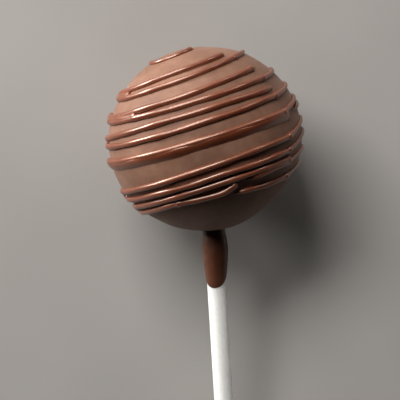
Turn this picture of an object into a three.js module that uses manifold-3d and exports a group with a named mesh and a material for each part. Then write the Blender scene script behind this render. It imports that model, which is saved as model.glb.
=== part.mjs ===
import * as THREE from 'three';
import { mergeVertices } from 'three/addons/utils/BufferGeometryUtils.js';
import Module from 'manifold-3d';

// A cake pop lying on its back, in millimetres, +Z up: a cake ball dipped in milk chocolate, with
// a zigzag of chocolate drizzled over it, on a paper stick that a collar of run chocolate grips.
// The origin is the middle of the small flat spot under the ball. The stick runs towards -Y and
// comes down to the surface at its far end.

const wasm = await Module();
wasm.setup();

// The ball is a little longer along the drizzle and from front to back than across it.
const BALL_LONG_RADIUS = 20.2;
const BALL_SHORT_RADIUS = 19.1;
const BALL_TILT = 14.5; // degrees that its short width leans left of the stick's line
const BALL_DETAIL = 5; // times that each edge of the starting icosahedron is split
const REST_CUT = 0.3; // depth of the flat spot
const REST_HEIGHT = BALL_LONG_RADIUS - REST_CUT; // the ball's centre over the surface

// A 6 inch paper stick of 4 mm, pushed nearly to the ball's centre.
const STICK_RADIUS = 2;
const STICK_LENGTH = 150;
const STICK_START = 1; // from the ball's centre to the stick's hidden end
const STICK_END = STICK_START + STICK_LENGTH;
const STICK_BEVEL = 0.15;
const STICK_ASIDE = 0.57; // the stick's line passes this far right of the ball's centre
const ROUND_SEGMENTS = 24;
const SOCKET_CLEARANCE = 0.25;
const SOCKET_RADIUS = STICK_RADIUS + SOCKET_CLEARANCE;

// The collar's outside: distance along the stick from the ball's centre, and radius there.
const COLLAR_PROFILE = [
  { along: 17.5, radius: 2.42 },
  { along: 19.6, radius: 2.45 },
  { along: 21.2, radius: 2.64 },
  { along: 22.6, radius: 2.76 },
  { along: 24.6, radius: 2.71 },
  { along: 26.2, radius: 2.55 },
  { along: 27.4, radius: 2.45 },
];
const COLLAR_LIP_RADIUS = 2.45; // down to its end, the thinnest wall round the socket
const COLLAR_TONGUE_END = 31.2; // on the shown side
const COLLAR_BACK_END = 26; // on the side it lies on

// The drizzle: round cords half sunk in the coating, thicker where they turn.
const CORD_RADIUS = 0.65;
const TURN_RADIUS = 0.72;
const CORD_SIDES = 6;
const CORD_HEIGHT = 0.08; // its centre line over the coating
const FADED_HEIGHT = -0.6; // its centre line where it has run out
const FADE_ANGLE = 13; // degrees over which it runs out
const CORD_STEP = 4.4;
const CORD_STEP_ANGLE = 17;
const TURN_STEP = 1.6;
const TURN_REACH = 4; // degrees at most that a turn reaches past the ends it joins
const LEAST_STEPS = 3;
const LEFT_EDGE = -92; // degrees round the ball from the middle of the shown side
const RIGHT_EDGE = 104;
const RISE_START = 40; // right of this angle a pass rises towards the top
const RISE_SPAN = 50;

// Each pass of the drizzle is a circle on the ball: tilt turns its plane up to the right, lean
// tips its top towards the viewer, and latitude is its height, all in degrees from the ball's
// own short axis. Passes run from left to right.
const FRONT_PASSES = [
  { tilt: 5.5, lean: 13, latitude: 75, to: 88 },
  { tilt: 3, lean: 5.5, latitude: 51, to: 44 },
  { tilt: 3, lean: 9.5, latitude: 47.5, to: 92 },
  { tilt: 2, lean: 9, latitude: 35.5, to: 62, fadesOut: true },
  { tilt: -1, lean: 8, latitude: 28.5, rise: 4, to: 98 },
  { tilt: -1, lean: 4, latitude: 18, to: 60, fadesOut: true },
  { tilt: 0, lean: 7.5, latitude: 14.5, rise: 3, to: 100 },
  { tilt: -1, lean: 7, latitude: 4.2, rise: 5 },
  { tilt: -1, lean: 7, latitude: 0.2, rise: 5 },
  { tilt: 1.5, lean: 5.5, latitude: -13.5, rise: 4 },
  { tilt: 0, lean: 5, latitude: -21, rise: 5.5 },
  { tilt: 0, lean: 4, latitude: -27, to: 66, fadesOut: true },
  { tilt: -4, lean: 2, latitude: -36.5, to: 0 },
  { tilt: 3, lean: 5, latitude: -31, rise: 4.5, from: 14 },
  { tilt: 1.5, lean: 5, latitude: -38, rise: 5, from: -1, fadesIn: true },
];

// The pairs of front passes that one turn joins: at their left ends, and at their right ends.
const LEFT_TURNS = [[1, 2], [3, 4], [5, 6], [7, 8], [9, 10], [11, 12]];
const RIGHT_TURNS = [[7, 8], [9, 10], [13, 14]];
const STEP_UP = [12, 13]; // this pass climbs onto the start of the next

// Over the crown, the second pass comes round behind the top to the first. The route between
// them is in degrees of longitude and latitude.
const CROWN_PASSES = [1, 0];
const CROWN_ROUTE = [[74, 60.5], [86, 65], [89, 72]];

// The back has a zigzag of its own, drizzled with the pop turned round.
const BACK_CENTRE = 186;
const BACK_REACH = 68;
const BACK_PASSES = [
  { tilt: 2, lean: -9, latitude: 68 },
  { tilt: 3, lean: -7, latitude: 53 },
  { tilt: -1, lean: -9, latitude: 47.5 },
  { tilt: 1, lean: -6, latitude: 33 },
  { tilt: -2, lean: -8, latitude: 27 },
  { tilt: 0, lean: -5, latitude: 12 },
  { tilt: 2, lean: -7, latitude: 2 },
  { tilt: -1, lean: -6, latitude: -11 },
  { tilt: 1, lean: -4, latitude: -18 },
  { tilt: -2, lean: -5, latitude: -31 },
];

const CHOCOLATE = new THREE.MeshStandardMaterial({ color: 0x70493a, roughness: 0.42, metalness: 0 });
const PAPER = new THREE.MeshStandardMaterial({ color: 0xe9e9e7, roughness: 0.85, metalness: 0 });

const MERGE_DISTANCE = 1e-4;
const BALL_RADII = new THREE.Vector3(BALL_LONG_RADIUS, BALL_SHORT_RADIUS, BALL_LONG_RADIUS);

// A closed geometry as a solid that can be joined and cut. Triangles that have shrunk to a line
// at a pole are dropped.
function toSolid(geometry) {
  const plain = geometry.clone();
  plain.deleteAttribute('normal');
  plain.deleteAttribute('uv');
  const merged = mergeVertices(plain, MERGE_DISTANCE);
  const index = merged.index.array;
  const corners = [];
  for (let i = 0; i < index.length; i += 3) {
    const [a, b, c] = index.slice(i, i + 3);
    if (a !== b && b !== c && c !== a) {
      corners.push(a, b, c);
    }
  }
  const mesh = new wasm.Mesh({
    numProp: 3,
    vertProperties: merged.attributes.position.array,
    triVerts: Uint32Array.from(corners),
  });
  return new wasm.Manifold(mesh);
}

function toGeometry(solid) {
  const mesh = solid.getMesh();
  const geometry = new THREE.BufferGeometry();
  geometry.setAttribute('position', new THREE.BufferAttribute(mesh.vertProperties, 3));
  geometry.setIndex(new THREE.BufferAttribute(mesh.triVerts, 1));
  geometry.computeVertexNormals();
  return geometry;
}

// The point on the coating in a direction given on the unit sphere, raised by a height along the
// coating's normal, in the ball's own axes.
function onCoating(direction, height, target = new THREE.Vector3()) {
  const normal = direction.clone().divide(BALL_RADII).normalize();
  return target.copy(direction).multiply(BALL_RADII).addScaledVector(normal, height);
}

// The direction at a longitude from the middle of the shown side and a latitude, in degrees.
function atLongitude(longitude, latitude) {
  const polar = THREE.MathUtils.degToRad(90 - latitude);
  return new THREE.Vector3().setFromSphericalCoords(1, polar, THREE.MathUtils.degToRad(longitude));
}

// The centre line of one pass of the drizzle, from its left end to its right end.
class DrizzlePass extends THREE.Curve {
  constructor({ tilt, lean, latitude, rise = 0, from = LEFT_EDGE, to = RIGHT_EDGE,
    fadesIn = false, fadesOut = false }) {
    super();
    Object.assign(this, { latitude, rise, from, to, fadesIn, fadesOut });
    const roll = THREE.MathUtils.degToRad(tilt);
    const tip = THREE.MathUtils.degToRad(lean);
    this.pole = new THREE.Vector3(0, 1, 0);
    this.pole.applyAxisAngle(new THREE.Vector3(1, 0, 0), tip);
    this.pole.applyAxisAngle(new THREE.Vector3(0, 0, 1), roll);
    this.front = new THREE.Vector3(0, 0, 1).projectOnPlane(this.pole).normalize();
    this.side = new THREE.Vector3().crossVectors(this.pole, this.front);
  }

  heightAt(longitude) {
    const leftRoom = this.fadesIn ? longitude - this.from : FADE_ANGLE;
    const rightRoom = this.fadesOut ? this.to - longitude : FADE_ANGLE;
    const full = THREE.MathUtils.smoothstep(Math.min(leftRoom, rightRoom), 0, FADE_ANGLE);
    return THREE.MathUtils.lerp(FADED_HEIGHT, CORD_HEIGHT, full);
  }

  directionAt(longitude) {
    const beyond = Math.max(0, (longitude - RISE_START) / RISE_SPAN);
    const height = THREE.MathUtils.degToRad(this.latitude + this.rise * beyond ** 2);
    const turn = THREE.MathUtils.degToRad(longitude);
    const direction = this.pole.clone().multiplyScalar(Math.sin(height));
    direction.addScaledVector(this.front, Math.cos(height) * Math.cos(turn));
    return direction.addScaledVector(this.side, Math.cos(height) * Math.sin(turn));
  }

  getPoint(t, target = new THREE.Vector3()) {
    const longitude = THREE.MathUtils.lerp(this.from, this.to, t);
    return onCoating(this.directionAt(longitude), this.heightAt(longitude), target);
  }

  steps() {
    const byLength = Math.ceil(this.getLength() / CORD_STEP);
    const byAngle = Math.ceil((this.to - this.from) / CORD_STEP_ANGLE);
    return Math.max(byLength, byAngle);
  }
}

// The centre line of a short stretch over the coating through a few directions.
class DrizzleRoute extends THREE.Curve {
  constructor(directions) {
    super();
    this.over = new THREE.CatmullRomCurve3(directions);
  }

  getPoint(t, target = new THREE.Vector3()) {
    return onCoating(this.over.getPoint(t).normalize(), CORD_HEIGHT, target);
  }
}

// A round cord along a curve, as a solid.
function cord(curve, radius, steps) {
  const corners = [];
  for (let i = 0; i < CORD_SIDES; i++) {
    const angle = (2 * Math.PI * i) / CORD_SIDES;
    corners.push(new THREE.Vector2(radius * Math.cos(angle), radius * Math.sin(angle)));
  }
  const section = new THREE.Shape(corners);
  const settings = { extrudePath: curve, steps, bevelEnabled: false };
  return toSolid(new THREE.ExtrudeGeometry(section, settings));
}

function passCord(pass) {
  return cord(pass, CORD_RADIUS, pass.steps());
}

function routeCord(directions, radius) {
  const route = new DrizzleRoute(directions);
  return cord(route, radius, Math.max(LEAST_STEPS, Math.ceil(route.getLength() / TURN_STEP)));
}

// The turn that joins two passes at their right ends, or at their left ends. It reaches past
// them by half of their spacing, or less where they lie far apart.
function turnCord(first, second, atRight) {
  const edge = atRight ? 'to' : 'from';
  const start = first.directionAt(first[edge]);
  const end = second.directionAt(second[edge]);
  const spacing = THREE.MathUtils.radToDeg(start.angleTo(end));
  const reach = Math.min(spacing / 2, TURN_REACH) * (atRight ? 1 : -1);
  const beyond = first.directionAt(first[edge] + reach);
  const middle = beyond.add(second.directionAt(second[edge] + reach));
  return routeCord([start, middle.normalize(), end], TURN_RADIUS);
}

function frontDrizzle() {
  const passes = FRONT_PASSES.map((sizes) => new DrizzlePass(sizes));
  const [climbing, climbed] = STEP_UP.map((i) => passes[i]);
  const [behind, crown] = CROWN_PASSES.map((i) => passes[i]);
  const crownRoute = CROWN_ROUTE.map((place) => atLongitude(...place));
  return [
    ...passes.map(passCord),
    ...LEFT_TURNS.map(([i, j]) => turnCord(passes[i], passes[j], false)),
    ...RIGHT_TURNS.map(([i, j]) => turnCord(passes[i], passes[j], true)),
    routeCord([climbing.directionAt(climbing.to), climbed.directionAt(climbed.from)], CORD_RADIUS),
    routeCord([behind.directionAt(behind.to), ...crownRoute, crown.directionAt(crown.to)],
      CORD_RADIUS),
  ];
}

// One unbroken zigzag: turns at the right and the left ends take it in turn to join the passes.
function backDrizzle() {
  const span = { from: BACK_CENTRE - BACK_REACH, to: BACK_CENTRE + BACK_REACH };
  const passes = BACK_PASSES.map((sizes) => new DrizzlePass({ ...sizes, ...span }));
  const cords = passes.map(passCord);
  for (let i = 1; i < passes.length; i++) {
    cords.push(turnCord(passes[i - 1], passes[i], i % 2 === 1));
  }
  return cords;
}

// A solid turned about +Y from [along, radius] pairs, closed on the axis at both ends.
function turned(profile) {
  const [first, last] = [profile[0], profile[profile.length - 1]];
  const outline = [{ ...first, radius: 0 }, ...profile, { ...last, radius: 0 }];
  const points = outline.map(({ along, radius }) => new THREE.Vector2(radius, along));
  return new THREE.LatheGeometry(points, ROUND_SEGMENTS);
}

// The spindle of chocolate that ran down the stick, its end cut on a slant into a tongue on the
// shown side, which is the side of -Z before the stick is laid.
function collar() {
  const tip = { along: COLLAR_TONGUE_END, radius: COLLAR_LIP_RADIUS };
  const spindle = toSolid(turned([...COLLAR_PROFILE, tip]));
  const slant = Math.atan2(COLLAR_TONGUE_END - COLLAR_BACK_END, 2 * COLLAR_LIP_RADIUS);
  const size = 4 * COLLAR_LIP_RADIUS;
  const waste = new THREE.BoxGeometry(size, size, size);
  waste.translate(0, size / 2, 0);
  waste.rotateX(slant);
  waste.translate(0, (COLLAR_TONGUE_END + COLLAR_BACK_END) / 2, 0);
  return spindle.subtract(toSolid(waste));
}

// The socket leaves the same clearance beyond the stick's hidden end as round it.
function socket() {
  return toSolid(turned([
    { along: STICK_START - SOCKET_CLEARANCE, radius: SOCKET_RADIUS },
    { along: COLLAR_TONGUE_END + SOCKET_RADIUS, radius: SOCKET_RADIUS },
  ]));
}

function stickGeometry() {
  return turned([
    { along: STICK_START, radius: STICK_RADIUS - STICK_BEVEL },
    { along: STICK_START + STICK_BEVEL, radius: STICK_RADIUS },
    { along: STICK_END - STICK_BEVEL, radius: STICK_RADIUS },
    { along: STICK_END, radius: STICK_RADIUS - STICK_BEVEL },
  ]);
}

// The angle at which the stick comes down, so that the lowest point of its end rim meets the
// surface: along * sin(angle) + radius * cos(angle) is the height of the ball's centre.
function stickFall() {
  const along = STICK_END - STICK_BEVEL;
  return Math.asin(REST_HEIGHT / Math.hypot(along, STICK_RADIUS)) - Math.atan2(STICK_RADIUS, along);
}

// From the stick's own axes, where it runs along +Y, to the ball's centre with the stick laid.
function stickPlace() {
  const turn = new THREE.Matrix4().makeRotationX(Math.PI + stickFall());
  return turn.setPosition(STICK_ASIDE, 0, 0);
}

function placed(solid, matrix) {
  return toSolid(toGeometry(solid).applyMatrix4(matrix));
}

// The largest body of a solid, without the specks that crossing facets can shut in.
function mainBody(solid) {
  return solid.decompose().reduce((most, part) => (part.volume() > most.volume() ? part : most));
}

// Ball, drizzle and collar are one piece of chocolate-coated cake round the ball's centre.
function coatedBallGeometry() {
  const sphere = new THREE.IcosahedronGeometry(1, BALL_DETAIL).scale(...BALL_RADII);
  const pieces = [toSolid(sphere), ...frontDrizzle(), ...backDrizzle()];
  const drizzled = mainBody(pieces.reduce((whole, piece) => whole.add(piece)));
  const ballTurn = new THREE.Matrix4().makeRotationZ(THREE.MathUtils.degToRad(BALL_TILT));
  const room = 4 * BALL_LONG_RADIUS;
  const floor = new THREE.BoxGeometry(room, room, room);
  floor.translate(0, 0, -REST_HEIGHT - room / 2);
  const ball = placed(drizzled, ballTurn)
    .add(placed(collar(), stickPlace()))
    .subtract(placed(socket(), stickPlace()))
    .subtract(toSolid(floor));
  return toGeometry(ball);
}

const coatedBall = new THREE.Mesh(coatedBallGeometry(), CHOCOLATE);
coatedBall.name = 'coated_ball';

const stick = new THREE.Mesh(stickGeometry(), PAPER);
stick.name = 'stick';
stick.applyMatrix4(stickPlace());

const cakePop = new THREE.Group();
cakePop.name = 'cake_pop';
cakePop.position.z = REST_HEIGHT;
cakePop.add(coatedBall, stick);

export default cakePop;
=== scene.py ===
"""A cake pop lying on its back: a ball of cake in milk chocolate, drizzled, on a paper stick.

Lengths are in metres and angles in radians, unless a name or a comment says otherwise. The frame
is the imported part's: +Z up, the stick towards -Y, and the origin in the middle of the flat spot
under the ball. The ball has axes of its own besides: +Y is its short axis, which leans left of
the stick's line, and +Z faces the viewer. Longitude there runs from the middle of the shown side
towards the right, and latitude from the equator towards +Y.
"""

import logging
import math
from collections.abc import Mapping, Sequence
from dataclasses import dataclass
from enum import Enum
from typing import Any, TypeAlias

import bpy
import numpy as np
from numpy.typing import NDArray
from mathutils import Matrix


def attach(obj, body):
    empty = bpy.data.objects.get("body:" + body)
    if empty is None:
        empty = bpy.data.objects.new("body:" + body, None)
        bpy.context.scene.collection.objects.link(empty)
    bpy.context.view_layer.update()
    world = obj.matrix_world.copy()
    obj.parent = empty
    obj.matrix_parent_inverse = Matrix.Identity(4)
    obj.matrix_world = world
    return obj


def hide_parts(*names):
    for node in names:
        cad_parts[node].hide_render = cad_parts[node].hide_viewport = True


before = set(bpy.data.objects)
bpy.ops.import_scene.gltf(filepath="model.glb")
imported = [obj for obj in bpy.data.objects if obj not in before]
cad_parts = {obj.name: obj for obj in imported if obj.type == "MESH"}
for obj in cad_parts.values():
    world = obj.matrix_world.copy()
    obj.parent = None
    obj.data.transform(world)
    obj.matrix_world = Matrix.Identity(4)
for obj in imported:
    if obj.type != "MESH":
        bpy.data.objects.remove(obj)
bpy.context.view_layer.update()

Array = NDArray[np.float64]
Colour = tuple[float, float, float]
Vector = tuple[float, float, float]
Range = tuple[float, float]
Term: TypeAlias = "Value | float"

LOG = logging.getLogger("cake_pop")
MM = 0.001
BODY = "root"
BALL_NODE = "coated_ball"
STICK_NODE = "stick"


def unit(vectors: Array) -> Array:
    """Gives the vectors a length of one."""
    return vectors / np.linalg.norm(vectors, axis=-1, keepdims=True)


def smoothstep(values: Array | float, low: float, high: float) -> Array:
    """Rises from 0 at low to 1 at high without a corner: 3t^2 - 2t^3 on the way t between them."""
    way = np.clip((np.asarray(values) - low) / (high - low), 0.0, 1.0)
    return way * way * (3.0 - 2.0 * way)


def sphere_direction(longitude: float, latitude: float) -> Array:
    """Gives the unit vector at a longitude and a latitude in degrees, in the ball's own axes."""
    east, north = math.radians(longitude), math.radians(latitude)
    return np.array(
        [math.cos(north) * math.sin(east), math.sin(north), math.cos(north) * math.cos(east)]
    )


def smooth_curve(knots: Array, slopes: Array, samples: int) -> Array:
    """Carries a curve through knots, meeting each with its slope.

    Between two knots a and b with slopes p and q it is the cubic
    a (1+2t)(1-t)^2 + b t^2 (3-2t) + p t (1-t)^2 - q t^2 (1-t), with t from 0 to 1.

    Args:
        knots: Points, one a row.
        slopes: The curve's slope at each knot, for a span that lasts 1.
        samples: How many points each span gets, its last knot left out.

    Returns:
        The curve's points, one a row.
    """
    t = np.linspace(0.0, 1.0, samples, endpoint=False)[:, None]
    a, b = knots[:-1, None], knots[1:, None]
    p, q = slopes[:-1, None], slopes[1:, None]
    spans = a * (1 + 2 * t) * (1 - t) ** 2 + b * t**2 * (3 - 2 * t)
    spans = spans + p * t * (1 - t) ** 2 - q * t**2 * (1 - t)
    return spans.reshape(-1, knots.shape[1])


@dataclass(frozen=True)
class Waves:
    """Smooth seeded unevenness: a sum of plane sine waves with random headings and starts."""

    seed: int
    wavelength: float
    count: int = 7
    spread: float = 0.35

    def at(self, places: Array) -> Array:
        """Sums the waves at places.

        Each wave is sin(2 pi place.heading / length + start). The lengths lie within a share
        spread of the wavelength, and the sum is scaled to a standard deviation of 1.

        Args:
            places: Points with any number of coordinates, in the last axis.

        Returns:
            One number for each point, mostly between -2 and 2.
        """
        rng = np.random.default_rng(self.seed)
        headings = unit(rng.normal(size=(self.count, places.shape[-1])))
        lengths = self.wavelength * rng.uniform(1 - self.spread, 1 + self.spread, self.count)
        starts = rng.uniform(0.0, 2 * math.pi, self.count)
        turns = 2 * math.pi * places @ (headings / lengths[:, None]).T + starts
        return np.sin(turns).sum(-1) * math.sqrt(2.0 / self.count)


@dataclass(frozen=True)
class Surface:
    """One or more closed surfaces, as points and the triangles between them."""

    points: Array
    corners: NDArray[np.int64]

    def facing_out(self) -> "Surface":
        """Turns the triangles round if they enclose a negative volume.

        The volume is a sixth of the sum of a.(b x c) over the triangles' corners a, b and c.

        Returns:
            The surface, facing outwards.
        """
        a, b, c = (self.points[self.corners[:, i]] for i in range(3))
        if np.einsum("ij,ij->", a, np.cross(b, c)) < 0:
            return Surface(self.points, self.corners[:, ::-1])
        return self

    @staticmethod
    def joined(surfaces: Sequence["Surface"]) -> "Surface":
        """Puts several surfaces into one."""
        starts = np.cumsum([0] + [len(s.points) for s in surfaces[:-1]])
        return Surface(
            np.concatenate([s.points for s in surfaces]),
            np.concatenate([s.corners + start for s, start in zip(surfaces, starts)]),
        )


def grid_corners(rows: NDArray[np.int64]) -> NDArray[np.int64]:
    """Splits the cells of a grid of point numbers into two triangles each.

    Args:
        rows: Point numbers on a grid. A closed direction repeats its first line at its end.

    Returns:
        The triangles' corners, three a row.
    """
    a, b = rows[:-1, :-1].ravel(), rows[:-1, 1:].ravel()
    c, d = rows[1:, 1:].ravel(), rows[1:, :-1].ravel()
    return np.concatenate([np.stack([a, b, c], -1), np.stack([a, c, d], -1)])


def tube(rings: Array) -> Surface:
    """Skins closed rings into a tube, with a fan from each end ring to its middle.

    Args:
        rings: Points as (ring, place round it, xyz).

    Returns:
        The closed tube, facing outwards.
    """
    count, around = rings.shape[:2]
    numbers = np.arange(count * around).reshape(count, around)
    wrapped = np.concatenate([numbers, numbers[:, :1]], axis=1)
    fans = []
    for ring, middle in ((wrapped[0], count * around), (wrapped[-1][::-1], count * around + 1)):
        hub = np.full(around, middle)
        fans.append(np.stack([ring[1:], ring[:-1], hub], -1))
    points = np.concatenate([rings.reshape(-1, 3), rings[0].mean(0)[None], rings[-1].mean(0)[None]])
    return Surface(points, np.concatenate([grid_corners(wrapped), *fans])).facing_out()


def shell(rings: Array) -> Surface:
    """Skins rings that close both round themselves and from the last ring to the first.

    Args:
        rings: Points as (ring, place round it, xyz).

    Returns:
        The closed surface, facing outwards.
    """
    numbers = np.arange(rings.shape[0] * rings.shape[1]).reshape(rings.shape[:2])
    wrapped = np.pad(numbers, ((0, 1), (0, 1)), mode="wrap")
    return Surface(rings.reshape(-1, 3), grid_corners(wrapped)).facing_out()


MERGE_DIGITS = 9


def cube_sphere(steps: int) -> Surface:
    """Covers the unit sphere with six square grids, so that it has no poles.

    Each grid is a face of a cube, points (tan(u pi/4), tan(v pi/4), 1) with u and v from -1 to
    1, scaled to length 1 and turned to its side. Points shared by two faces are merged.

    Args:
        steps: How many cells a face has along each side.

    Returns:
        The sphere, facing outwards.
    """
    side = np.tan(np.linspace(-1.0, 1.0, steps + 1) * math.pi / 4)
    u, v = np.meshgrid(side, side, indexing="ij")
    face = unit(np.stack([u, v, np.ones_like(u)], -1)).reshape(-1, 3)
    orders = ([0, 1, 2], [1, 2, 0], [2, 0, 1])
    sides = [face[:, order] * sign for order in orders for sign in (1, -1)]
    numbers = np.arange(len(face)).reshape(steps + 1, steps + 1)
    one_way, other_way = grid_corners(numbers), grid_corners(numbers.T)
    corners = [(other_way if i % 2 else one_way) + i * len(face) for i in range(len(sides))]
    points = np.concatenate(sides)
    _, first, merged = np.unique(
        points.round(MERGE_DIGITS), axis=0, return_index=True, return_inverse=True
    )
    return Surface(points[first], merged.ravel()[np.concatenate(corners)]).facing_out()


def add_piece(name: str, surface: Surface, material: bpy.types.Material) -> bpy.types.Object:
    """Makes a smooth-shaded object of a surface, at the origin of the frame.

    Args:
        name: The object's name.
        surface: Its points and triangles, in their place.
        material: Its only material.

    Returns:
        The new object, linked to the scene.
    """
    mesh = bpy.data.meshes.new(name)
    mesh.vertices.add(len(surface.points))
    mesh.vertices.foreach_set("co", surface.points.astype(np.float32).ravel())
    mesh.loops.add(surface.corners.size)
    mesh.loops.foreach_set("vertex_index", surface.corners.astype(np.int32).ravel())
    mesh.polygons.add(len(surface.corners))
    starts = np.arange(0, surface.corners.size, 3, dtype=np.int32)
    mesh.polygons.foreach_set("loop_start", starts)
    mesh.polygons.foreach_set("use_smooth", np.ones(len(surface.corners), dtype=bool))
    mesh.update(calc_edges=True)
    mesh.materials.append(material)
    piece = bpy.data.objects.new(name, mesh)
    bpy.context.scene.collection.objects.link(piece)
    return piece


def dress(piece: bpy.types.Object, node: str) -> bpy.types.Object:
    """Lets a piece stand for a CAD node.

    Args:
        piece: The object, in its place.
        node: The CAD node that it stands for.

    Returns:
        The same object.
    """
    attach(piece, BODY)
    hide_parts(node)
    return piece


class Value:
    """A number that changes over a surface, for use in expressions."""

    def __init__(self, graph: "Graph", socket: bpy.types.NodeSocket) -> None:
        """Wraps one output socket of a graph."""
        self.graph = graph
        self.socket = socket

    def _math(self, operation: str, *terms: Any) -> "Value":
        """Adds a Math node that works on the terms."""
        node = self.graph.add("ShaderNodeMath", {"operation": operation}, dict(enumerate(terms)))
        return Value(self.graph, node.outputs[0])

    def __add__(self, other: Term) -> "Value":
        """Adds a term."""
        return self._math("ADD", self, other)

    __radd__ = __add__

    def __sub__(self, other: Term) -> "Value":
        """Takes a term away."""
        return self._math("SUBTRACT", self, other)

    def __rsub__(self, other: Term) -> "Value":
        """Takes this value away from a term."""
        return self._math("SUBTRACT", other, self)

    def __mul__(self, other: Term) -> "Value":
        """Multiplies by a term."""
        return self._math("MULTIPLY", self, other)

    __rmul__ = __mul__

    def above(self, low: float, high: float) -> "Value":
        """Rises smoothly from 0 to 1 as this value rises.

        Args:
            low: The value at which it leaves 0.
            high: The value at which it reaches 1.

        Returns:
            The risen value.
        """
        settings = {"interpolation_type": "SMOOTHSTEP"}
        node = self.graph.add("ShaderNodeMapRange", settings, {0: self, 1: low, 2: high})
        return Value(self.graph, node.outputs[0])


class Graph:
    """The node graph of one material, in Object coordinates."""

    def __init__(self, name: str) -> None:
        """Starts an empty material.

        Args:
            name: The material's name.
        """
        self.material = bpy.data.materials.new(name)
        self.material.use_nodes = True
        self.material.node_tree.nodes.clear()
        self.place = self.add("ShaderNodeTexCoord", {}, {}).outputs["Object"]

    def add(
        self, kind: str, settings: Mapping[str, Any], sockets: Mapping[Any, Any]
    ) -> bpy.types.Node:
        """Adds one node.

        Args:
            kind: The node's type.
            settings: Its own properties, which are set first.
            sockets: Values for its inputs, or what they are linked to, by name or number.

        Returns:
            The new node.
        """
        tree = self.material.node_tree
        node = tree.nodes.new(kind)
        for name, value in settings.items():
            setattr(node, name, value)
        for key, value in sockets.items():
            source = value.socket if isinstance(value, Value) else value
            if isinstance(source, bpy.types.NodeSocket):
                tree.links.new(source, node.inputs[key])
            else:
                node.inputs[key].default_value = source
        return node

    def stretched(self, scale: Vector, turn: Vector) -> bpy.types.NodeSocket:
        """Gives the place turned by angles and then scaled along each axis."""
        turned = self.add("ShaderNodeMapping", {"vector_type": "POINT"}, {0: self.place, 2: turn})
        return self.add("ShaderNodeMapping", {}, {0: turned.outputs[0], 3: scale}).outputs[0]

    def noise(self, grain: float, detail: float = 2.0, place: Any = None) -> Value:
        """Gives noise from 0 to 1.

        Args:
            grain: The size of its largest patches, in the units of place.
            detail: How many finer octaves it has.
            place: The coordinates that it reads, or None for the place in metres.

        Returns:
            The noise, mostly between 0.3 and 0.7.
        """
        sockets = {"Vector": place or self.place, "Scale": 1.0 / grain, "Detail": detail}
        return Value(self, self.add("ShaderNodeTexNoise", {}, sockets).outputs[0])

    def mix(self, share: Value, first: Any, second: Any) -> bpy.types.NodeSocket:
        """Mixes two colours.

        Args:
            share: The second colour's share, from 0 to 1.
            first: A colour, or the socket of one.
            second: The other, in either form.

        Returns:
            The mixed colour's socket.
        """
        colours = [c if isinstance(c, bpy.types.NodeSocket) else (*c, 1.0) for c in (first, second)]
        sockets = {0: share, 6: colours[0], 7: colours[1]}
        return self.add("ShaderNodeMix", {"data_type": "RGBA"}, sockets).outputs[2]

    def bump(self, height: Value, depth: float) -> bpy.types.NodeSocket:
        """Gives the normal of a relief whose height 1 stands depth above 0."""
        sockets = {"Height": height, "Distance": depth, "Strength": 1.0}
        return self.add("ShaderNodeBump", {}, sockets).outputs[0]

    def finish(self, sockets: Mapping[str, Any]) -> bpy.types.Material:
        """Ends the graph in a Principled shader with these sockets.

        Args:
            sockets: Values or links by the shader's own socket names.

        Returns:
            The material.
        """
        shader = self.add("ShaderNodeBsdfPrincipled", {}, sockets)
        self.add("ShaderNodeOutputMaterial", {}, {"Surface": shader.outputs[0]})
        return self.material


NOISE_MIDDLE = 0.5


@dataclass(frozen=True)
class ChocolateFinish:
    """Set milk chocolate with a satin face: faint mottling, and a grain too fine to see singly."""

    name: str
    roughness: float
    dark: Colour = (0.215, 0.096, 0.058)
    middle: Colour = (0.265, 0.121, 0.075)
    pale: Colour = (0.315, 0.154, 0.100)
    grain_depth: float = 0.02 * MM
    patch: float = 7 * MM
    mottle: float = 1.6 * MM
    grain: float = 0.35 * MM
    glow: float = 0.10
    glow_reach: Colour = (1.0, 0.36, 0.2)
    glow_scale: float = 1.0 * MM
    gloss_index: float = 1.47
    gloss: float = 0.5
    gloss_tint: Colour = (1.0, 1.0, 1.0)
    sheen: float = 0.0
    octaves: float = 3.0
    patch_share: float = 0.65
    to_middle: Range = (0.34, 0.56)
    to_pale: Range = (0.50, 0.72)
    smoothing: float = 0.05
    mottled_roughness: float = 0.14
    grain_roughness: float = 0.06
    mottled_relief: float = 0.6

    def material(self) -> bpy.types.Material:
        """Builds the material.

        The tone mixes large patches and fine mottling by their shares. It leads from dark over
        middle to pale. Both also waver the roughness, which the smoothing brings back to its mean.

        Returns:
            The material.
        """
        graph = Graph(self.name)
        patches = graph.noise(self.patch, self.octaves)
        mottling = graph.noise(self.mottle, self.octaves)
        grain = graph.noise(self.grain)
        tone = patches * self.patch_share + mottling * (1 - self.patch_share)
        body = graph.mix(tone.above(*self.to_middle), self.dark, self.middle)
        rough = self.roughness - self.smoothing + self.mottled_roughness * patches * mottling
        height = mottling * self.mottled_relief + grain * (1 - self.mottled_relief)
        return graph.finish(
            {
                "Base Color": graph.mix(tone.above(*self.to_pale), body, self.pale),
                "Roughness": rough + self.grain_roughness * grain,
                "Normal": graph.bump(height, self.grain_depth),
                "IOR": self.gloss_index,
                "Specular IOR Level": self.gloss,
                "Specular Tint": (*self.gloss_tint, 1.0),
                "Sheen Weight": self.sheen,
                "Subsurface Weight": self.glow,
                "Subsurface Radius": self.glow_reach,
                "Subsurface Scale": self.glow_scale,
            }
        )


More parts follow.
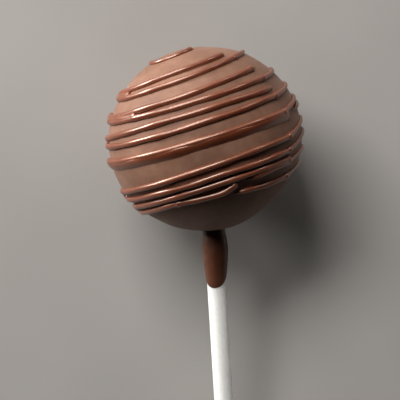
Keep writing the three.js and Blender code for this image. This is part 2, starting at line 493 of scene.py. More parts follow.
@dataclass(frozen=True)
class PaperFinish:
    """Tightly rolled white paper: fibres along the stick, and a felted surface."""

    name: str
    shade: Colour = (0.88, 0.88, 0.85)
    white: Colour = (0.96, 0.96, 0.94)
    glow: float = 1.0
    glow_reach: Colour = (1.0, 1.0, 1.0)
    glow_scale: float = 3 * MM
    roughness: float = 0.78
    fall: float = 0.0
    fibre: float = 0.16 * MM
    fibre_length: float = 9.0
    felt: float = 0.7 * MM
    relief: float = 0.025 * MM
    fibre_octaves: float = 3.0
    felt_octaves: float = 4.0
    fibre_share: float = 0.5
    fibre_relief: float = 0.6
    to_white: Range = (0.36, 0.56)
    felt_roughness: float = 0.2

    def material(self) -> bpy.types.Material:
        """Builds the material. Its fibres run along the stick, which falls by an angle.

        Returns:
            The material.
        """
        graph = Graph(self.name)
        along = graph.stretched((1.0, 1.0 / self.fibre_length, 1.0), (-self.fall, 0.0, 0.0))
        fibres = graph.noise(self.fibre, self.fibre_octaves, along)
        felt = graph.noise(self.felt, self.felt_octaves)
        tone = fibres * self.fibre_share + felt * (1 - self.fibre_share)
        height = fibres * self.fibre_relief + felt * (1 - self.fibre_relief)
        return graph.finish(
            {
                "Base Color": graph.mix(tone.above(*self.to_white), self.shade, self.white),
                "Roughness": self.roughness + self.felt_roughness * (felt - NOISE_MIDDLE),
                "Normal": graph.bump(height, self.relief),
                "Subsurface Weight": self.glow,
                "Subsurface Radius": self.glow_reach,
                "Subsurface Scale": self.glow_scale,
            }
        )


@dataclass(frozen=True)
class FloorFinish:
    """A plain pale sheet to lie on."""

    name: str
    tone: Colour = (0.36, 0.345, 0.335)
    pale: Colour = (0.40, 0.385, 0.375)
    roughness: float = 0.8
    patch: float = 60 * MM
    to_pale: Range = (0.3, 0.7)

    def material(self) -> bpy.types.Material:
        """Builds the material.

        Returns:
            The material.
        """
        graph = Graph(self.name)
        share = graph.noise(self.patch).above(*self.to_pale)
        colour = graph.mix(share, self.tone, self.pale)
        return graph.finish({"Base Color": colour, "Roughness": self.roughness})


@dataclass(frozen=True)
class Spot:
    """A low rise or hollow of the coating.

    angle goes round the ball's outline from +X in its own axes, towards_viewer lifts the spot
    out of the outline's plane, and over spread it fades to 1/e. All three are in degrees.
    """

    angle: float
    height: float
    spread: float
    towards_viewer: float = 0.0

    def direction(self) -> Array:
        """Gives where the spot is.

        Returns:
            The unit vector in the ball's own axes.
        """
        turn, lift = math.radians(self.angle), math.radians(self.towards_viewer)
        flat = np.array([math.cos(turn), math.sin(turn), 0.0]) * math.cos(lift)
        return flat + np.array([0.0, 0.0, math.sin(lift)])


@dataclass
class CoatedBall:
    """The dipped ball: an ellipsoid with soft rises and hollows, pressed flat where it lies."""

    long_radius: float = 20.2 * MM
    short_radius: float = 19.1 * MM
    tilt: float = math.radians(14.5)
    rest_height: float = 19.9 * MM
    flat_height: float = 0.02 * MM
    cells: int = 120
    waviness: float = 0.035 * MM
    waves: Waves = Waves(seed=11, wavelength=0.7)
    spots: tuple[Spot, ...] = (
        Spot(-64.5, -0.26 * MM, 20),
        Spot(138, -0.18 * MM, 17),
        Spot(39, -0.18 * MM, 17),
        Spot(-91.5, 0.14 * MM, 14),
        Spot(0, -0.36 * MM, 26, towards_viewer=90),
        Spot(150, 0.19 * MM, 12),
        Spot(12, -0.22 * MM, 17),
        Spot(70, -0.37 * MM, 14),
        Spot(224, -0.18 * MM, 9),
    )
    finish: ChocolateFinish = ChocolateFinish(
        "coating_chocolate",
        roughness=0.60,
        dark=(0.197, 0.095, 0.059),
        middle=(0.242, 0.120, 0.077),
        pale=(0.290, 0.153, 0.102),
        gloss=0.4,
        sheen=0.06,
    )

    @property
    def radii(self) -> Array:
        """The half lengths along the ball's own axes."""
        return np.array([self.long_radius, self.short_radius, self.long_radius])

    def relief(self, directions: Array) -> Array:
        """Gives how far the coating stands out of the ellipsoid.

        It is seeded waves, and for each spot its height times exp(-(angle/spread)^2), where the
        angle is the one between the direction and the spot's.

        Args:
            directions: Unit vectors in the ball's own axes.

        Returns:
            One height for each of them.
        """
        height = self.waviness * self.waves.at(directions)
        for spot in self.spots:
            cosine = np.clip(directions @ spot.direction(), -1.0, 1.0)
            away = np.degrees(np.arccos(cosine)) / spot.spread
            height = height + spot.height * np.exp(-(away**2))
        return height

    def normals(self, directions: Array) -> Array:
        """Gives the ellipsoid's outward normals: the directions over the radii, at length 1."""
        return unit(directions / self.radii)

    def at(self, directions: Array) -> Array:
        """Gives points on the coating: direction times radii, plus the relief outwards."""
        relief = self.relief(directions)[..., None]
        return directions * self.radii + relief * self.normals(directions)

    def to_row(self, points: Array) -> Array:
        """Turns points from the ball's own axes by its tilt and lifts them to where it lies.

        Args:
            points: The points, one a row.

        Returns:
            The same points in the frame.
        """
        cosine, sine = math.cos(self.tilt), math.sin(self.tilt)
        turn = np.array([[cosine, sine, 0.0], [-sine, cosine, 0.0], [0.0, 0.0, 1.0]])
        return points @ turn + np.array([0.0, 0.0, self.rest_height])

    def laid(self, surface: Surface, lowest: float) -> Surface:
        """Places a surface of the ball's own axes in the frame, flattened below.

        Args:
            surface: The surface.
            lowest: The height that its lower points are raised to.

        Returns:
            The surface in the frame.
        """
        points = self.to_row(surface.points)
        points[:, 2] = np.maximum(points[:, 2], lowest)
        return Surface(points, surface.corners)

    def build(self) -> bpy.types.Object:
        """Builds the coating and lets it stand for the ball's node.

        Returns:
            The piece.
        """
        sphere = cube_sphere(self.cells)
        whole = self.laid(Surface(self.at(sphere.points), sphere.corners), self.flat_height)
        return dress(add_piece("coating", whole, self.finish.material()), BALL_NODE)


class Way(Enum):
    """The way in which a pass of the drizzle is laid."""

    LEFTWARD = -1
    RIGHTWARD = 1


# Longitudes along a pass, in degrees: its usual ends, the kink near its right end, and the end
# of the climb from there. The rounding at both ends of the climb is a share of its length.
LEFT_EDGE = -92.0
RIGHT_EDGE = 104.0
KINK = 53.0
RISE_END = 86.0
KINK_ROUNDING = 0.05


@dataclass(frozen=True)
class Bend:
    """A place at which a pass strays from its circle: all angles in degrees."""

    longitude: float
    height: float
    spread: float


@dataclass(frozen=True)
class Pass:
    """One pass of the drizzle over the ball: a circle on it, in degrees.

    tilt turns the circle's plane up to the right, lean tips its top towards the viewer, and
    latitude is its height. From a kink near its right end, the line climbs by rise.
    """

    tilt: float
    lean: float
    latitude: float
    rise: float = 0.0
    start: float = LEFT_EDGE
    end: float = RIGHT_EDGE
    bends: tuple[Bend, ...] = ()

    def directions(self, longitudes: Array) -> Array:
        """Gives the unit vectors along the pass.

        With the pole p, the front f (across the pole, nearest the viewer) and the side p x f,
        a direction is sin(h) p + cos(h) (cos(l) f + sin(l) side), for height h and longitude l.
        The climb's share is the rounded ramp (1 + sqrt(t^2 + s^2) - sqrt((t-1)^2 + s^2)) / 2,
        for the way t from KINK to RISE_END and a small rounding s. A bend adds its height times
        exp(-((l - longitude)/spread)^2).

        Args:
            longitudes: Places along the pass, in degrees.

        Returns:
            One direction for each, in the ball's own axes.
        """
        tip, roll = math.radians(self.lean), math.radians(self.tilt)
        pole = np.array(
            [-math.cos(tip) * math.sin(roll), math.cos(tip) * math.cos(roll), math.sin(tip)]
        )
        front = unit(np.array([0.0, 0.0, 1.0]) - pole * pole[2])
        side = np.cross(pole, front)
        way = (longitudes - KINK) / (RISE_END - KINK)
        ramp = 1 + np.hypot(way, KINK_ROUNDING) - np.hypot(way - 1, KINK_ROUNDING)
        climb = self.rise * ramp / 2
        for bend in self.bends:
            aside = (longitudes - bend.longitude) / bend.spread
            climb = climb + bend.height * np.exp(-(aside**2))
        height = np.radians(self.latitude + climb)[:, None]
        turn = np.radians(longitudes)[:, None]
        level = np.cos(turn) * front + np.sin(turn) * side
        return np.sin(height) * pole + np.cos(height) * level


@dataclass(frozen=True)
class Leg:
    """A pass as it is laid in a strand."""

    laid: Pass
    way: Way = Way.RIGHTWARD
    degrees_a_step: float = 0.7

    def directions(self) -> Array:
        """Follows the pass.

        Returns:
            Its directions in the order in which they are laid.
        """
        steps = math.ceil((self.laid.end - self.laid.start) / self.degrees_a_step)
        line = self.laid.directions(np.linspace(self.laid.start, self.laid.end, steps + 1))
        return line[:: self.way.value]


TURN_REACH = math.radians(4)
SLOPE_PER_REACH = 4
LINK_SAMPLES = 24


def link(before: Leg, after: Leg) -> Array:
    """Joins the end of one leg to the start of the next over the ball.

    The turn reaches past the legs by half of their spacing, or TURN_REACH where they lie far
    apart: the cubic between them with slopes of four times the reach gets there half way.

    Args:
        before: The leg that ends.
        after: The leg that starts.

    Returns:
        Directions between the two ends, which are left out.
    """
    ended, started = before.directions(), after.directions()
    leaving, arriving = unit(ended[-1] - ended[-2]), unit(started[1] - started[0])
    knots = np.array([ended[-1], started[0]])
    spacing = float(np.linalg.norm(knots[1] - knots[0]))
    slope = SLOPE_PER_REACH * min(spacing / 2, TURN_REACH)
    slopes = np.array([leaving, arriving]) * slope
    return unit(smooth_curve(knots, slopes, LINK_SAMPLES)[1:])


@dataclass(frozen=True)
class Section:
    """The cross-section of a strand: an ellipse with its middle lifted off the coating.

    A positive roll lowers the side that is on the right as seen along the strand. Past the kink
    the strand thins by a share.
    """

    half_width: float = 0.63 * MM
    half_height: float = 0.60 * MM
    lift: float = 0.14 * MM
    roll: float = 0.0
    thinning: float = 0.3


ROUND = Section()
EVEN = Section(thinning=0.0)
HIGH = Section(lift=0.29 * MM)
LOW = Section(0.62 * MM, 0.54 * MM, 0.03 * MM, thinning=0.0)
THIN = Section(0.58 * MM, 0.57 * MM, 0.20 * MM)
FILLING = Section(0.95 * MM, 0.56 * MM, 0.16 * MM)
NARROW_FILLING = Section(0.80 * MM, 0.60 * MM, 0.20 * MM)
APRON = Section(1.12 * MM, 0.36 * MM, 0.16 * MM, math.radians(30))


@dataclass(frozen=True)
class Swelling:
    """A drop on a strand, at a longitude along one of its passes."""

    laid: Pass
    longitude: float
    gain: float
    spread: float

    def direction(self) -> Array:
        """Gives where on the ball it is."""
        return self.laid.directions(np.array([self.longitude]))


@dataclass(frozen=True)
class Strand:
    """One unbroken run of the drizzle, laid to and fro over the ball."""

    legs: tuple[Leg, ...]
    section: Section = ROUND
    closed: bool = False
    fades_in: bool = False
    fades_out: bool = False

    def route(self) -> Array:
        """Follows the strand over its legs and the links between them.

        Returns:
            Its directions from end to end. A closed one runs on a little past its start.
        """
        parts = []
        for before, after in zip(self.legs, self.legs[1:]):
            parts += [before.directions(), link(before, after)]
        parts.append(self.legs[-1].directions())
        if self.closed:
            parts += [link(self.legs[-1], self.legs[0]), self.legs[0].directions()[:2]]
        return np.concatenate(parts)


def zigzag(passes: Sequence[Pass], first_way: Way) -> tuple[Leg, ...]:
    """Lays passes to and fro, starting in a given way."""
    ways = (first_way, Way(-first_way.value))
    return tuple(Leg(laid, ways[i % 2]) for i, laid in enumerate(passes))


@dataclass(frozen=True)
class Bead:
    """The round bead of chocolate that a strand lays on the coating."""

    end_radius: float = 0.57 * MM
    step: float = 0.17 * MM
    sides: int = 16
    end_steps: int = 6
    turn_gain: float = 0.2
    turn_onset: Range = (0.3, 1.0)
    turn_radius: float = 1.6 * MM
    turn_soften: float = 0.8 * MM
    fade_length: float = 2.6 * MM
    fade_radius: float = 0.35
    fade_depth: float = 0.25 * MM
    least_tip: float = 1e-6
    thinning_reach: float = 16.0
    unevenness: float = 0.035
    waves: Waves = Waves(seed=5, wavelength=9 * MM)
    sway: float = 0.025 * MM
    sway_waves: Waves = Waves(seed=8, wavelength=17 * MM)

    def stations(self, length: float) -> Array:
        """Gives distances along a strand: even steps, and finer ones that round its ends.

        The finer ones are end_radius (1 - cos a) from an end, with a from 0 to a right angle.

        Args:
            length: The strand's length.

        Returns:
            The distances, from 0 to the length.
        """
        arc = np.linspace(0.0, math.pi / 2, self.end_steps, endpoint=False)
        near = self.end_radius * (1 - np.cos(arc))
        count = max(2, math.ceil((length - 2 * self.end_radius) / self.step))
        even = np.linspace(self.end_radius, length - self.end_radius, count)
        return np.concatenate([near, even, (length - near)[::-1]])

    def sweep(self, strand: Strand, ball: CoatedBall, swellings: Sequence[Swelling]) -> Surface:
        """Carries a strand's section along its route over the coating.

        The ellipse stands across the route. It grows where the route turns sharply and at
        swellings, wavers a little, and shrinks to a point at the ends as
        sqrt(1 - (1 - d/r)^2), for the distance d to the end and the end radius r. Where a
        strand fades it also thins and sinks.

        Args:
            strand: The strand.
            ball: The coated ball that it lies on.
            swellings: Drops along it.

        Returns:
            The bead as a closed tube, in the ball's own axes.
        """
        route = strand.route()
        rough = ball.at(route)
        reached = np.concatenate([[0.0], np.cumsum(np.linalg.norm(np.diff(rough, axis=0), axis=1))])
        length = float(reached[-1])
        along = self.stations(length)
        directions = unit(np.stack([np.interp(along, reached, route[:, i]) for i in range(3)], -1))
        up = ball.normals(directions)
        path = ball.at(directions)
        heading = unit(np.gradient(path, axis=0))
        across = unit(np.cross(up, heading))
        path = path + across * (self.sway * self.sway_waves.at(along[:, None]))[:, None]

        bend = np.linalg.norm(np.gradient(heading, along, axis=0), axis=1)
        turning = smoothstep(bend * self.turn_radius, *self.turn_onset)
        softened = round(self.turn_soften / self.step) + 1
        window = np.hanning(2 * softened + 1)
        turning = np.convolve(turning, window / window.sum(), mode="same")
        gain = 1.0 + self.turn_gain * turning + self.unevenness * self.waves.at(along[:, None])
        section = strand.section
        longitudes = np.degrees(np.arctan2(directions[:, 0], directions[:, 2]))
        gain = gain - section.thinning * smoothstep(longitudes, KINK, KINK + self.thinning_reach)
        for drop in swellings:
            middle = ball.at(drop.direction())
            away = np.linalg.norm(path - middle, axis=1) / drop.spread
            gain = gain + drop.gain * np.exp(-(away**2))

        to_ends = (along, length - along)
        height = np.full_like(along, section.lift)
        for distance, fades in zip(to_ends, (strand.fades_in, strand.fades_out)):
            if fades:
                full = smoothstep(distance, 0.0, self.fade_length)
                gain = gain * (self.fade_radius + (1 - self.fade_radius) * full)
                height = height - self.fade_depth * (1 - full)
        if not strand.closed:
            nearest = np.clip(np.minimum(*to_ends) / self.end_radius, 0.0, 1.0)
            gain = gain * np.sqrt(np.clip(1 - (1 - nearest) ** 2, self.least_tip, 1.0))

        angles = np.linspace(0.0, 2 * math.pi, self.sides, endpoint=False)
        wide, tall = section.half_width * np.cos(angles), section.half_height * np.sin(angles)
        level = wide * math.cos(section.roll) - tall * math.sin(section.roll)
        raised = wide * math.sin(section.roll) + tall * math.cos(section.roll)
        outwards = level[:, None] * across[:, None] + raised[:, None] * up[:, None]
        middles = path + height[:, None] * up
        return tube(middles[:, None] + gain[:, None, None] * outwards)


CROWN = Pass(3.4, 11, 77.0, end=60)
BEHIND_CROWN = Pass(-20, -47, 50, start=-26, end=32)
UPPER_BACK = Pass(3, 5.5, 51, end=46.5)
UPPER_FRONT = Pass(3, 9.5, 47.5, end=92)
BETWEEN_UPPER = Pass(3, 8.5, 48.7, start=-90, end=-57)
SECOND_TAPERED = Pass(2, 9, 35.5, end=60, bends=(Bend(-75, -0.8, 22),))
SECOND_HOOKED = Pass(-1, 8, 28.5, rise=2.2, end=98)
BETWEEN_SECOND = Pass(-1, 8, 29.9, start=-92, end=-42.5)
THIRD_TAPERED = Pass(-1, 4, 18.1, start=-98, end=56, bends=(Bend(62, 1.4, 14),))
THIRD_HOOKED = Pass(0, 7.5, 14.5, rise=3.3, start=-98, end=100)
MIDDLE = Pass(-1, 7, 4.2, rise=5.4)
MIDDLE_RIGHT = Pass(-1, 7, 0.2, rise=5.4, start=67)
MIDDLE_APRON = Pass(-1, 7, 0.9, start=-97, end=58)
LOWER_FIRST = Pass(1.5, 5.5, -13.8, rise=7)
LOWER_SECOND = Pass(0, 5, -21.4, rise=8.5)
LOWER_THIRD = Pass(0, 4, -27.4, end=60)
LAST_LEFT = Pass(-4, 2, -37.0, end=13, bends=(Bend(-34, 1.2, 14), Bend(16, 5.4, 9.5)))
LAST_RIGHT = Pass(3, 5, -30.6, rise=4.5, start=14)
UNDER_LAST = Pass(1.5, 5, -39.4, rise=5, start=5, bends=(Bend(10, 2.2, 14),))

FRONT_STRANDS = (
    Strand((Leg(CROWN),), LOW),
    Strand((Leg(BEHIND_CROWN),)),
    Strand(zigzag((UPPER_BACK, UPPER_FRONT), Way.LEFTWARD)),
    Strand((Leg(BETWEEN_UPPER),), FILLING),
    Strand(zigzag((SECOND_TAPERED, SECOND_HOOKED), Way.LEFTWARD), fades_in=True),
    Strand((Leg(BETWEEN_SECOND),), NARROW_FILLING),
    Strand(zigzag((THIRD_TAPERED, THIRD_HOOKED), Way.LEFTWARD), fades_in=True),
    Strand(zigzag((MIDDLE_RIGHT, MIDDLE), Way.RIGHTWARD), HIGH, fades_in=True),
    Strand((Leg(MIDDLE_APRON),), APRON),
    Strand(zigzag((LOWER_FIRST, LOWER_SECOND), Way.LEFTWARD), closed=True),
    Strand(zigzag((LOWER_THIRD, LAST_LEFT), Way.LEFTWARD), fades_in=True),
    Strand(zigzag((LAST_RIGHT, UNDER_LAST), Way.RIGHTWARD), THIN, fades_in=True, fades_out=True),
)

# Small knobs and wide drops: each is on a pass, at a longitude along it.
KINKED = (
    UPPER_FRONT,
    SECOND_TAPERED,
    SECOND_HOOKED,
    THIRD_TAPERED,
    THIRD_HOOKED,
    MIDDLE,
    LOWER_FIRST,
    LOWER_SECOND,
    LOWER_THIRD,
    LAST_RIGHT,
    UNDER_LAST,
)
KNOBS = (*((laid, KINK) for laid in KINKED), (LAST_LEFT, -30.5))
DROPS = (
    (CROWN, 58.0),
    (BETWEEN_UPPER, -58.0),
    (BETWEEN_SECOND, -43.5),
    (LAST_LEFT, 12.0),
)

# The passes behind, as tilt, lean and latitude in degrees, and the longitudes that they span.
BACK_CENTRE = 183.0
BACK_REACH = 66.0
BACK_CIRCLES = (
    (2, -9, 68),
    (3, -7, 53),
    (-1, -9, 47.5),
    (1, -6, 33),
    (-2, -8, 27),
    (0, -5, 12),
    (2, -7, 2),
    (-1, -6, -11),
    (1, -4, -18),
    (-2, -5, -31),
)


@dataclass
class Drizzle:
    """All of the drizzle: the zigzag in front, and one of its own behind."""

    bead: Bead = Bead()
    knob_gain: float = 0.34
    knob_spread: float = 0.42 * MM
    drop_gain: float = 0.14
    drop_spread: float = 1.0 * MM
    finish: ChocolateFinish = ChocolateFinish(
        "drizzle_chocolate",
        roughness=0.32,
        dark=(0.165, 0.036, 0.012),
        middle=(0.197, 0.046, 0.017),
        pale=(0.230, 0.060, 0.024),
        grain_depth=0.006 * MM,
        glow=0.15,
        glow_scale=0.3 * MM,
        gloss_index=1.7,
        gloss=1.0,
        gloss_tint=(1.0, 0.86, 0.76),
    )

    def build(self, ball: CoatedBall) -> list[bpy.types.Object]:
        """Builds the drizzle.

        Args:
            ball: The coated ball that it lies on.

        Returns:
            The front and the back drizzle.
        """
        span = {"start": BACK_CENTRE - BACK_REACH, "end": BACK_CENTRE + BACK_REACH}
        back_passes = [Pass(*circle, **span) for circle in BACK_CIRCLES]
        back = (Strand(zigzag(back_passes, Way.RIGHTWARD), EVEN),)
        swellings = [Swelling(*place, self.knob_gain, self.knob_spread) for place in KNOBS]
        swellings += [Swelling(*place, self.drop_gain, self.drop_spread) for place in DROPS]
        material = self.finish.material()
        pieces = []
        for name, strands in (("drizzle_front", FRONT_STRANDS), ("drizzle_back", back)):
            beads = [self.bead.sweep(strand, ball, swellings) for strand in strands]
            piece = add_piece(name, ball.laid(Surface.joined(beads), 0.0), material)
            pieces.append(dress(piece, BALL_NODE))
        return pieces


@dataclass
class PaperStick:
    """A rolled paper stick. It comes down from the ball's centre to the surface it lies on."""

    radius: float = 2 * MM
    start: float = 1 * MM
    length: float = 150 * MM
    bevel: float = 0.15 * MM
    bevel_steps: int = 5
    aside: float = 0.57 * MM
    columns: int = 96
    rows: int = 60
    seam_step: float = 0.035 * MM
    seam_angle: float = math.radians(118)
    seam_width: float = math.radians(4)
    roll_pitch: float = 0.4 * MM
    roll_depth: float = 0.1 * MM
    groove_power: int = 6
    groove_start: float = 0.93
    core_radius: float = 0.22 * MM
    core_floor: float = 0.11 * MM
    core_depth: float = 0.35 * MM
    end_rows: int = 60
    hub: float = 0.02

    @property
    def end(self) -> float:
        """The free end's distance from the ball's centre along the stick."""
        return self.start + self.length

    def fall(self, ball: CoatedBall) -> float:
        """Gives the angle at which the stick comes down.

        The lowest point of its end rim meets the surface: along sin(angle) + radius cos(angle)
        is the height of the ball's centre.

        Args:
            ball: The coated ball at its upper end.

        Returns:
            The angle from the level.
        """
        along = self.end - self.bevel
        reach = math.hypot(along, self.radius)
        return math.asin(ball.rest_height / reach) - math.atan2(self.radius, along)

    def to_row(self, ball: CoatedBall, along: Array, radius: Array, angle: Array) -> Array:
        """Places points of the stick in the frame.

        Args:
            ball: The coated ball at its upper end.
            along: The points' distances along the stick from the ball's centre.
            radius: Their distances from its axis.
            angle: Their angles round it, from its top side towards +X.

        Returns:
            The points, with xyz as the last axis.
        """
        fall = self.fall(ball)
        axis = np.array([0.0, -math.cos(fall), -math.sin(fall)])
        top = np.array([0.0, -math.sin(fall), math.cos(fall)])
        right = np.array([1.0, 0.0, 0.0])
        centre = np.array([self.aside, 0.0, ball.rest_height])
        round_it = np.cos(angle)[..., None] * top + np.sin(angle)[..., None] * right
        return centre + along[..., None] * axis + radius[..., None] * round_it

    def build(self, ball: CoatedBall) -> bpy.types.Object:
        """Builds the stick.

        Its radius falls by the seam step once round, from the seam, where the paper's edge
        steps back up. Its free end is a disc with the roll's groove: a spiral whose depth is
        roll_depth cos^6(pi r/pitch + angle/2), with a small hole in the middle. The groove
        starts a little inside the rim, which is rounded by a quarter circle.

        Args:
            ball: The coated ball at its upper end.

        Returns:
            The piece.
        """
        angles = np.linspace(0.0, 2 * math.pi, self.columns, endpoint=False)
        turned = np.mod(angles - self.seam_angle, 2 * math.pi)
        rise = smoothstep(turned, 0.0, self.seam_width)
        rolled = self.radius - self.seam_step * (1 - rise) - self.seam_step * turned / (2 * math.pi)

        side = np.linspace(self.start + self.bevel, self.end - self.bevel, self.rows)
        rim = np.linspace(0.0, math.pi / 2, self.bevel_steps)[1:]
        down = np.concatenate([[self.start], side, self.end - self.bevel * (1 - np.sin(rim))])
        inset = np.concatenate([[self.bevel], np.zeros(self.rows), self.bevel * (1 - np.cos(rim))])

        shares = np.linspace(1.0, self.hub, self.end_rows)[1:, None]
        disc = (rolled - self.bevel) * shares
        groove = np.cos(math.pi * disc / self.roll_pitch + angles / 2) ** self.groove_power
        edge = smoothstep(shares, 1.0, self.groove_start)
        hole = self.core_depth * smoothstep(disc, self.core_radius, self.core_floor)
        sunk = self.end - self.roll_depth * groove * edge - hole

        along = np.concatenate([np.broadcast_to(down[:, None], (len(down), self.columns)), sunk])
        radius = np.concatenate([rolled - inset[:, None], disc])
        rings = self.to_row(ball, along, radius, np.broadcast_to(angles, along.shape))
        finish = PaperFinish("rolled_paper", fall=self.fall(ball))
        return dress(add_piece("paper_stick", tube(rings), finish.material()), STICK_NODE)


@dataclass
class Collar:
    """The spindle of chocolate that ran down the stick, ending in a tongue on the shown side.

    profile_mm gives its radius along the stick, as pairs of the distance from the ball's centre
    and the radius.
    """

    profile_mm: tuple[tuple[float, float], ...] = (
        (17.0, 2.40),
        (19.6, 2.43),
        (20.5, 2.53),
        (21.3, 2.66),
        (22.6, 2.75),
        (23.9, 2.73),
        (25.2, 2.66),
        (26.5, 2.52),
        (28.2, 2.32),
        (29.6, 2.22),
        (31.5, 2.18),
    )
    clearance: float = 0.03 * MM
    tongue_middle: float = 29.5 * MM
    tongue_reach: float = 1.85 * MM
    tongue_angle: float = math.radians(-13)
    back_reach: float = 2.6 * MM
    lip: float = 0.75 * MM
    aside: float = 0.1 * MM
    widest: float = 23.5 * MM
    widest_reach: float = 4 * MM
    profile_samples: int = 12
    columns: int = 96
    rows: int = 70
    crowding: float = 1.7
    inner_rows: int = 8
    unevenness: float = 0.012 * MM
    waves: Waves = Waves(seed=21, wavelength=3.5 * MM)
    # The collar is the coating's chocolate but coloured much darker than it: painted shade for the
    # ball's shadow that lies over the collar.
    finish: ChocolateFinish = ChocolateFinish(
        "collar_chocolate_painted_shade",
        roughness=0.36,
        dark=(0.085, 0.030, 0.016),
        middle=(0.112, 0.040, 0.021),
        pale=(0.145, 0.055, 0.031),
    )

    def edge(self, angles: Array) -> Array:
        """Gives how far along the stick the collar ends, by the angle round the stick.

        It is middle + reach cos(angle - tongue angle), with a longer reach behind.

        Args:
            angles: Angles round the stick, from its top side.

        Returns:
            One distance from the ball's centre for each.
        """
        cosine = np.cos(angles - self.tongue_angle)
        reach = np.where(cosine > 0, self.tongue_reach, self.back_reach)
        return self.tongue_middle + reach * cosine

    def build(self, ball: CoatedBall, stick: PaperStick) -> bpy.types.Object:
        """Builds the collar.

        Its outside follows the profile, stands a little aside where it is widest, and thins
        towards its edge as sqrt(1 - (1 - d/lip)^2), for the distance d to the edge. Its rows
        crowd towards the edge. Its inside clears the stick.

        Args:
            ball: The coated ball.
            stick: The stick that it runs down.

        Returns:
            The piece.
        """
        angles = np.linspace(0.0, 2 * math.pi, self.columns, endpoint=False)
        knots = np.array(self.profile_mm) * MM
        line = smooth_curve(knots, np.gradient(knots, axis=0), self.profile_samples)
        root = knots[0, 0]
        edge = self.edge(angles)
        share = 1 - (1 - np.linspace(0.0, 1.0, self.rows)) ** self.crowding
        along = root + share[:, None] * (edge - root)
        inner = stick.radius + self.clearance
        thickness = np.interp(along, line[:, 0], line[:, 1]) - inner
        close = np.clip((edge - along) / self.lip, 0.0, 1.0)
        level = (inner * np.cos(angles), inner * np.sin(angles))
        uneven = self.unevenness * self.waves.at(np.stack(np.broadcast_arrays(along, *level), -1))
        wide = np.exp(-(((along - self.widest) / self.widest_reach) ** 2))
        shift = self.aside * np.sin(angles) * wide
        outer = inner + (thickness + shift + uneven) * np.sqrt(1 - (1 - close) ** 2)
        back = np.linspace(1.0, 0.0, self.inner_rows)[1:, None]
        inside = root + back * (edge - root)
        lengths = np.concatenate([along, inside])
        radius = np.concatenate([outer, np.full_like(inside, inner)])
        rings = stick.to_row(ball, lengths, radius, np.broadcast_to(angles, lengths.shape))
        return dress(add_piece("collar", shell(rings), self.finish.material()), BALL_NODE)


@dataclass
class Bubbles:
    """Pin-head bubbles that set in the coating: the two that show, and a few more anywhere.

    shown gives the longitude and latitude of the two, in degrees.
    """

    shown: tuple[tuple[float, float], ...] = ((-32.2, 22.0), (-49.3, 5.4))
    others: int = 16
    seed: int = 3
    smallest: float = 0.07 * MM
    largest: float = 0.13 * MM
    squash: float = 0.7
    rings: int = 9
    around: int = 14
    pole_gap: float = 0.05
    finish: ChocolateFinish = ChocolateFinish("bubble_chocolate", roughness=0.3)

    def build(self, ball: CoatedBall) -> bpy.types.Object:
        """Builds the bubbles as small squashed balls half sunk in the coating.

        A ball is (sin p cos t, sin p sin t, squash cos p), for the angle p from its top and the
        turn t round it.

        Args:
            ball: The coated ball.

        Returns:
            The bubbles as one piece.
        """
        rng = np.random.default_rng(self.seed)
        shown = [sphere_direction(*place) for place in self.shown]
        directions = [*shown, *unit(rng.normal(size=(self.others, 3)))]
        sizes = rng.uniform(self.smallest, self.largest, len(directions))
        sizes[: len(shown)] = self.largest
        polar = np.linspace(self.pole_gap, math.pi - self.pole_gap, self.rings)[:, None]
        turn = np.linspace(0.0, 2 * math.pi, self.around, endpoint=False)
        level, rise = np.sin(polar), self.squash * np.cos(polar)
        dome = np.stack(np.broadcast_arrays(level * np.cos(turn), level * np.sin(turn), rise), -1)
        surfaces = []
        for direction, size in zip(directions, sizes):
            up = ball.normals(direction)
            east = unit(np.cross(np.array([0.0, 1.0, 0.0]), up))
            axes = np.stack([east, np.cross(up, east), up])
            surfaces.append(tube(ball.at(direction[None])[0] + size * dome @ axes))
        whole = ball.laid(Surface.joined(surfaces), 0.0)
        return dress(add_piece("bubbles", whole, self.finish.material()), BALL_NODE)


@dataclass(frozen=True)
class Lamp:
    """A flat soft lamp that faces the ball, from an azimuth and a height in degrees."""

    name: str
    azimuth: float
    elevation: float
    width: float
    height: float
    power: float
    distance: float = 0.7
    tint: Colour = (1.0, 0.975, 0.93)

    def build(self, aim: Array) -> None:
        """Adds the lamp.

        Args:
            aim: The point that it faces, from its distance.
        """
        light = bpy.data.lights.new(self.name, "AREA")
        light.shape = "RECTANGLE"
        light.size, light.size_y = self.width, self.height
        light.energy = self.power
        light.color = self.tint
        lamp = bpy.data.objects.new(self.name, light)
        turn, rise = math.radians(self.azimuth), math.radians(self.elevation)
        away = [math.cos(turn) * math.cos(rise), math.sin(turn) * math.cos(rise), math.sin(rise)]
        lamp.location = aim + np.array(away) * self.distance
        lamp.rotation_euler = (math.pi / 2 - rise, 0.0, math.pi / 2 + turn)
        bpy.context.scene.collection.objects.link(lamp)


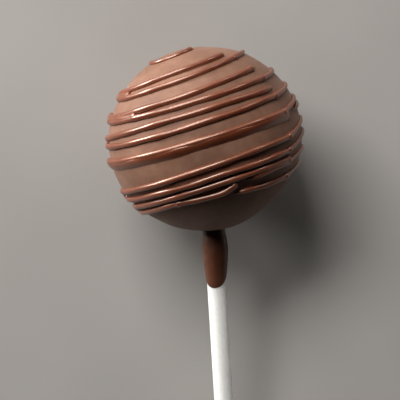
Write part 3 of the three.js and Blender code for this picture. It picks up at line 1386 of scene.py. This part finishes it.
@dataclass
class Studio:
    """The camera over the pop, the lamps, and the pale floor under it."""

    camera_place: Vector = (-1.846 * MM, -12.702 * MM, 319.9 * MM)
    camera_turn: float = math.radians(-3.52)
    focal_mm: float = 129.6
    sensor_mm: float = 36.0
    near_clip: float = 10 * MM
    floor_half: float = 1.5
    floor_drop: float = 0.02 * MM
    ambient: Colour = (0.007, 0.007, 0.007)
    lamps: tuple[Lamp, ...] = (
        Lamp("low_lamp", 153, 6, 0.26, 0.10, 5.0),
        Lamp("high_lamp", 120, 48, 0.50, 0.22, 4.8),
        Lamp("strip_lamp", 120, 11, 0.50, 0.05, 1.9),
        Lamp("side_lamp", 56, 22, 0.30, 0.06, 0.7),
    )
    floor_finish: FloorFinish = FloorFinish("pale_floor")

    def add_camera(self) -> None:
        """Adds the camera, looking straight down at the shown side."""
        data = bpy.data.cameras.new("camera")
        data.sensor_width = self.sensor_mm
        data.lens = self.focal_mm
        data.clip_start = self.near_clip
        camera = bpy.data.objects.new("camera", data)
        camera.location = self.camera_place
        camera.rotation_euler = (0.0, 0.0, self.camera_turn)
        bpy.context.scene.collection.objects.link(camera)
        bpy.context.scene.camera = camera

    def add_floor(self) -> None:
        """Adds the floor just under the pop, as stage."""
        side = np.array([-self.floor_half, self.floor_half])
        x, y = np.meshgrid(side, side, indexing="ij")
        points = np.stack([x, y, np.full_like(x, -self.floor_drop)], -1).reshape(-1, 3)
        corners = grid_corners(np.arange(4).reshape(2, 2).T)
        floor = add_piece("floor", Surface(points, corners), self.floor_finish.material())

    def add_light(self, aim: Array) -> None:
        """Adds the lamps and the faint light from all round.

        Args:
            aim: The point that the lamps face.
        """
        for lamp in self.lamps:
            lamp.build(aim)
        world = bpy.data.worlds.new("soft_room")
        world.use_nodes = True
        world.node_tree.nodes["Background"].inputs["Color"].default_value = (*self.ambient, 1.0)
        bpy.context.scene.world = world
        bpy.context.scene.view_settings.view_transform = "Standard"

    def build(self, ball: CoatedBall) -> None:
        """Builds the whole studio.

        Args:
            ball: The ball that the lamps face.
        """
        self.add_camera()
        self.add_floor()
        self.add_light(np.array([0.0, 0.0, ball.rest_height]))


def main() -> None:
    """Builds the pop and its studio, in order, and reports each piece."""
    logging.basicConfig(level=logging.INFO, format="%(name)s: %(message)s")
    ball = CoatedBall()
    stick = PaperStick()
    pieces = [ball.build(), *Drizzle().build(ball)]
    pieces += [Collar().build(ball, stick), Bubbles().build(ball), stick.build(ball)]
    for piece in pieces:
        LOG.info("%s: %d triangles", piece.name, len(piece.data.polygons))
    Studio().build(ball)


if __name__ == "__main__":
    main()
